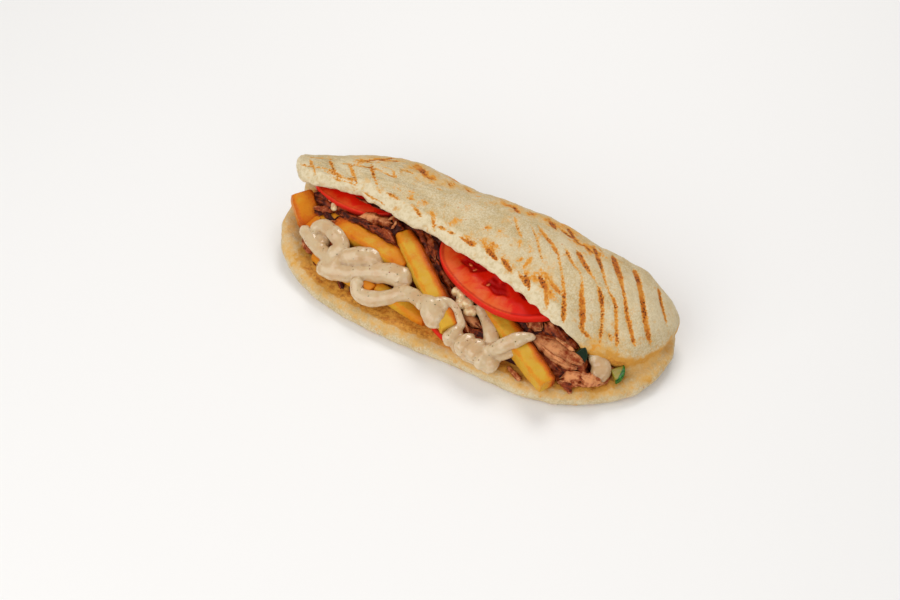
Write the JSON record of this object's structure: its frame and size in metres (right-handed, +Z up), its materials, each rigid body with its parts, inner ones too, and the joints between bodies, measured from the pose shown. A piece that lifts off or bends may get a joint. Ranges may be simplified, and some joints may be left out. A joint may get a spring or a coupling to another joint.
{
  "type": "doner kebab sandwich",
  "caption": "Grilled oval flatbread split along one side and filled with sliced meat, chips, tomato, onion, cucumber and creamy sauce.",
  "frame": {"origin": "under the middle of the sandwich, on the surface that it rests on", "axes": "+X along the bread from its open end to its closed end, +Y from the open mouth to the fold at the back, +Z up"},
  "size_m": [0.2516, 0.1075, 0.055],
  "materials": {
    "bread": "matte baked dough with toasted grill marks",
    "fry": "satin fried potato, browned at its edges",
    "tomato": "wet cut flesh with a glossy skin",
    "cucumber": "wet pale flesh with a dark green skin",
    "onion": "wet and half clear",
    "sauce": "smooth glossy cream with fine herb specks",
    "meat": "moist sliced roast meat, browned at its edges"
  },
  "bodies": {
    "root": {"bread": "bread", "fry_1": "fry", "fry_2": "fry", "fry_3": "fry", "fry_4": "fry", "fry_5": "fry", "fry_6": "fry", "fry_7": "fry", "tomato_right": "tomato", "tomato_left": "tomato", "tomato_lower": "tomato", "cucumber_1": "cucumber", "cucumber_2": "cucumber", "onion": "onion", "sauce": "sauce", "sauce_end": "sauce", "meat": "meat"}
  },
  "joints": []
}
